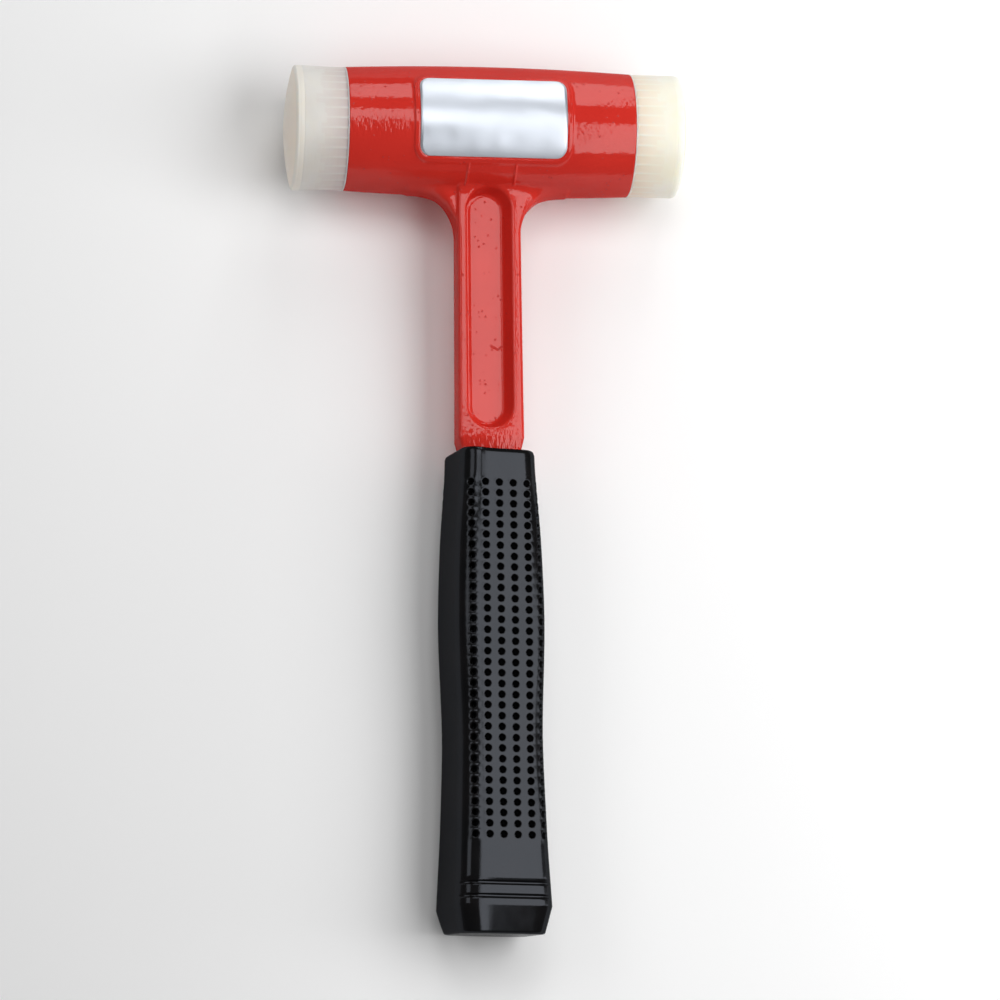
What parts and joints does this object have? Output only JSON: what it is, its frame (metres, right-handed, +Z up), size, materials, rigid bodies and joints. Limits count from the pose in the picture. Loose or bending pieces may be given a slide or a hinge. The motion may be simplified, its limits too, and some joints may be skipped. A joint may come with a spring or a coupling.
{
  "type": "nylon-faced dead blow hammer",
  "caption": "Red cast hammer head and I-section shaft in one piece, with screw-in nylon striking faces, loose steel shot inside and a black moulded grip.",
  "frame": {"origin": "under the middle of the hammer, on the surface that it lies on", "axes": "+X along the head to the right face, +Y along the handle towards the head, +Z up, out of the labelled front"},
  "size_m": [0.1454, 0.3121, 0.0478],
  "materials": {
    "red_paint": "gloss",
    "foil": "satin",
    "black_vinyl": "satin",
    "white_nylon": "satin",
    "cream_nylon": "satin",
    "ring_rubber": "matte",
    "canister_steel": "satin",
    "shot_steel": "polished"
  },
  "bodies": {
    "hammer_body": {"head_casting": "red_paint", "front_label": "foil", "grip_sleeve": "black_vinyl", "shot_canister": "canister_steel", "left_canister_cap": "canister_steel", "right_canister_cap": "canister_steel"},
    "left_ring_body": {"left_lock_ring": "ring_rubber"},
    "left_face_body": {"left_face": "white_nylon"},
    "right_ring_body": {"right_lock_ring": "ring_rubber"},
    "right_face_body": {"right_face": "cream_nylon"},
    "shot_body": {"steel_shot": "shot_steel"}
  },
  "joints": [
    {"name": "left_face_travel", "type": "slide", "parent": "hammer_body", "child": "left_ring_body", "axis": [-1, 0, 0], "range_m": [0, 0.014]},
    {"name": "left_face_turn", "type": "hinge", "parent": "left_ring_body", "child": "left_face_body", "pos_m": [-0.05125, 0.13266, 0.0234], "axis": [-1, 0, 0], "range_deg": [0, 1440]},
    {"name": "right_face_travel", "type": "slide", "parent": "hammer_body", "child": "right_ring_body", "axis": [1, 0, 0], "range_m": [0, 0.014]},
    {"name": "right_face_turn", "type": "hinge", "parent": "right_ring_body", "child": "right_face_body", "pos_m": [0.05125, 0.13266, 0.0234], "axis": [1, 0, 0], "range_deg": [0, 1440]},
    {"name": "shot_shift", "type": "slide", "parent": "hammer_body", "child": "shot_body", "axis": [1, 0, 0], "range_m": [-0.004, 0.004]}
  ],
  "couplings": [
    {"joint": "left_face_travel", "follows": "left_face_turn", "m_per_rad": 0.00055704},
    {"joint": "right_face_travel", "follows": "right_face_turn", "m_per_rad": 0.00055704}
  ]
}
